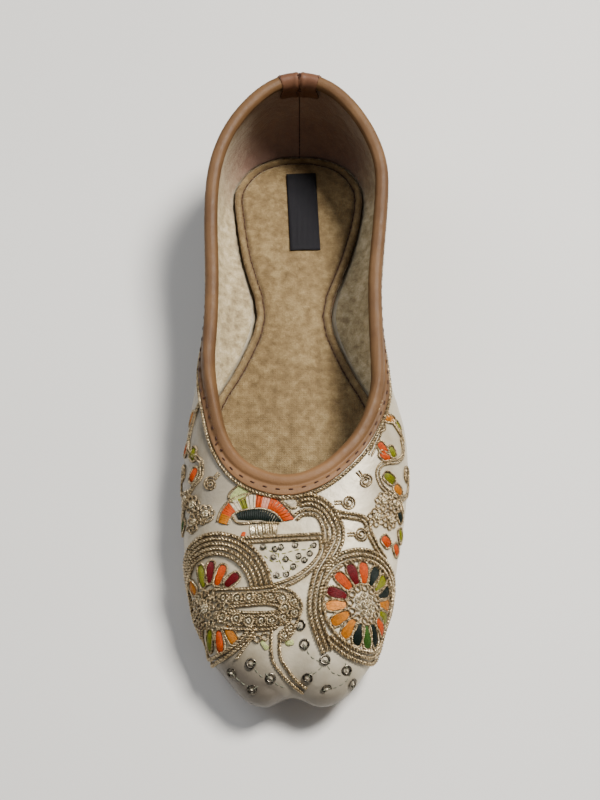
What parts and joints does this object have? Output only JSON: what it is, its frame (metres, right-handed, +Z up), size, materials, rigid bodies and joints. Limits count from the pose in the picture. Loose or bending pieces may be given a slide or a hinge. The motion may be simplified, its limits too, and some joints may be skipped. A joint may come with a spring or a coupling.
{
  "type": "mojari shoe",
  "caption": "Left mojari: a flat slip-on shoe with an embroidered satin upper, rolled leather collar, padded plush sock and thin leather sole.",
  "frame": {"origin": "on the floor, under the middle of the shoe's bounding box", "axes": "+Z up, toe towards -Y, heel towards +Y, the wearer's left at +X"},
  "size_m": [0.0858, 0.2546, 0.0615],
  "materials": {
    "sole_hide": "vegetable-tanned sole hide, smooth, burnished edge, light scuffs under the ball and heel",
    "heel_stack": "stacked hide lift, layered and burnished at the edge",
    "satin": "cream silk satin, fine weave, soft sheen, small creases",
    "plush": "crushed champagne plush, short pile, brushed light and dark patches",
    "tan_leather": "tan goat leather, semi-matt, rolled bead",
    "tab_leather": "red-brown goat leather, semi-matt, stitched seam",
    "zari": "twisted metal-wrapped cord, antique silver gold",
    "sequin": "small cupped metal sequins, antique silver gold",
    "silk_thread": "satin-stitched silk thread in red, orange, amber, olive, green and cream",
    "label_cloth": "black woven label with a plain border and no text"
  },
  "bodies": {
    "root": {"outsole": "sole_hide", "heel_lift": "heel_stack", "upper": "satin", "sock": "plush", "collar_binding": "tan_leather", "heel_tab": "tab_leather"}
  },
  "joints": []
}
